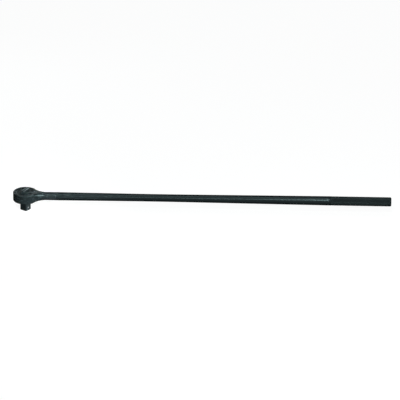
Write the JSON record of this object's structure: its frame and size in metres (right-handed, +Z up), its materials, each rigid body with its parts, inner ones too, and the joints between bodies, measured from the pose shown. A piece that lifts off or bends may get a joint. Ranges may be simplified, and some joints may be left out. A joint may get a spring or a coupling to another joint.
{
  "type": "ratcheting breaker bar",
  "caption": "Long one-piece ratchet handle with a round head, turning selector dial, square drive with a ball detent, and knurled grip.",
  "frame": {"origin": "centre of the square drive's end face, where it stands with the drive pointing down", "axes": "+Z up the drive axis through the head and selector dial; +X from the drive axis along the handle to the grip's end"},
  "size_m": [0.9144, 0.0594, 0.0526],
  "materials": {
    "black_oxide": "black oxide over forged steel, semi-gloss",
    "hardened_steel": "ground",
    "bright_steel": "polished",
    "spring_steel": "oiled",
    "seal_rubber": "matte"
  },
  "bodies": {
    "handle_and_head": {"handle": "black_oxide", "cover_plate": "black_oxide", "cover_snap_ring": "spring_steel", "thrust_washer": "hardened_steel", "dust_seal": "seal_rubber"},
    "spindle": {"drive_spindle": "black_oxide", "pawl_pin_forward": "hardened_steel", "pawl_pin_reverse": "hardened_steel", "pawl_spring_forward": "spring_steel", "pawl_spring_reverse": "spring_steel", "detent_spring": "spring_steel", "socket_ball_spring": "spring_steel"},
    "selector": {"selector_dial": "black_oxide", "selector_cam": "hardened_steel", "cam_clip": "spring_steel"},
    "forward_pawl": {"pawl_forward": "hardened_steel"},
    "reverse_pawl": {"pawl_reverse": "hardened_steel"},
    "forward_plunger": {"plunger_forward": "hardened_steel"},
    "reverse_plunger": {"plunger_reverse": "hardened_steel"},
    "dial_ball": {"detent_ball": "bright_steel"},
    "retaining_ball": {"socket_ball": "bright_steel"}
  },
  "joints": [
    {"name": "drive_spin", "type": "hinge", "parent": "handle_and_head", "child": "spindle", "pos_m": [0, 0, 0.034], "axis": [0, 0, 1], "continuous": true},
    {"name": "selector_turn", "type": "hinge", "parent": "spindle", "child": "selector", "pos_m": [0, 0, 0.042], "axis": [0, 0, 1], "range_deg": [0, 50]},
    {"name": "pawl_forward_swing", "type": "hinge", "parent": "spindle", "child": "forward_pawl", "pos_m": [0.00152, 0.01442, 0.0348], "axis": [0, 0, 1], "range_deg": [-12.6, 0]},
    {"name": "pawl_reverse_swing", "type": "hinge", "parent": "spindle", "child": "reverse_pawl", "pos_m": [-0.01325, -0.0059, 0.0348], "axis": [0, 0, 1], "range_deg": [-12.6, 0]},
    {"name": "plunger_forward_slide", "type": "slide", "parent": "spindle", "child": "forward_plunger", "axis": [-0.1045, -0.9945, 0], "range_m": [0, 0.00296], "deforming": ["pawl_spring_forward"]},
    {"name": "plunger_reverse_slide", "type": "slide", "parent": "spindle", "child": "reverse_plunger", "axis": [0.9135, 0.4067, 0], "range_m": [-0.00296, 0], "deforming": ["pawl_spring_reverse"]},
    {"name": "detent_click", "type": "slide", "parent": "spindle", "child": "dial_ball", "axis": [0, 0, 1], "range_m": [-0.0005, 0], "stiffness_N_per_m": 800, "deforming": ["detent_spring"]},
    {"name": "socket_ball_press", "type": "slide", "parent": "spindle", "child": "retaining_ball", "axis": [0.809, -0.5878, 0], "range_m": [-0.0013, 0], "stiffness_N_per_m": 1500, "deforming": ["socket_ball_spring"]}
  ],
  "couplings": [
    {"joint": "pawl_forward_swing", "follows": "selector_turn", "ratio": -0.25},
    {"joint": "pawl_reverse_swing", "follows": "selector_turn", "ratio": -0.25},
    {"joint": "plunger_forward_slide", "follows": "selector_turn", "m_per_rad": 0.00338},
    {"joint": "plunger_reverse_slide", "follows": "selector_turn", "m_per_rad": -0.00338}
  ]
}
